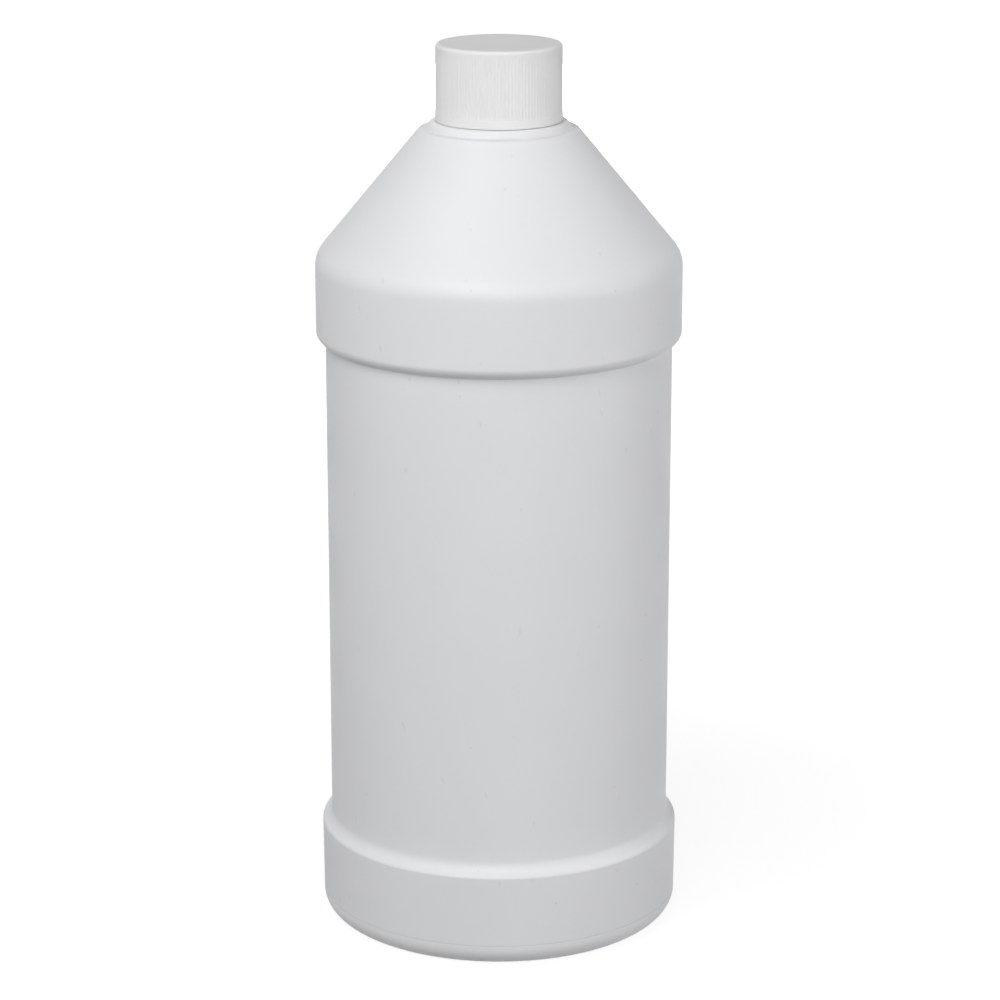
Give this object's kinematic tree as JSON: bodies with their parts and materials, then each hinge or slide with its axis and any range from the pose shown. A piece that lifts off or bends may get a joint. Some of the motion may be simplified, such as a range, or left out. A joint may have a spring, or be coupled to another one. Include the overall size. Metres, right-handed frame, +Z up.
{
  "type": "round plastic bottle with screw cap",
  "caption": "Round blow-moulded bottle with a recessed label panel, a conical shoulder and a fine-ribbed screw cap that unscrews and lifts off its neck.",
  "frame": {"origin": "centre of the standing ring, on the plane the bottle stands on", "axes": "+Z up along the bottle's axis, -Y towards the camera of the picture, +X to its right"},
  "size_m": [0.0884, 0.0884, 0.2173],
  "materials": {
    "bottle_plastic": "satin white blow-moulded polyethylene",
    "cap_plastic": "semi-gloss white moulded polypropylene",
    "liner_foam": "matt white foam sheet"
  },
  "bodies": {
    "bottle": {"bottle": "bottle_plastic"},
    "liner": {"cap_liner": "liner_foam"},
    "cap": {"screw_cap": "cap_plastic"}
  },
  "joints": [
    {"name": "cap_lift", "type": "slide", "parent": "bottle", "child": "liner", "axis": [0, 0, 1], "range_m": [0, 0.0174]},
    {"name": "cap_turn", "type": "hinge", "parent": "liner", "child": "cap", "pos_m": [0, 0, 0.2082], "axis": [0, 0, 1], "range_deg": [0, 1476]}
  ],
  "couplings": [
    {"joint": "cap_lift", "follows": "cap_turn", "m_per_rad": 0.00067375}
  ]
}
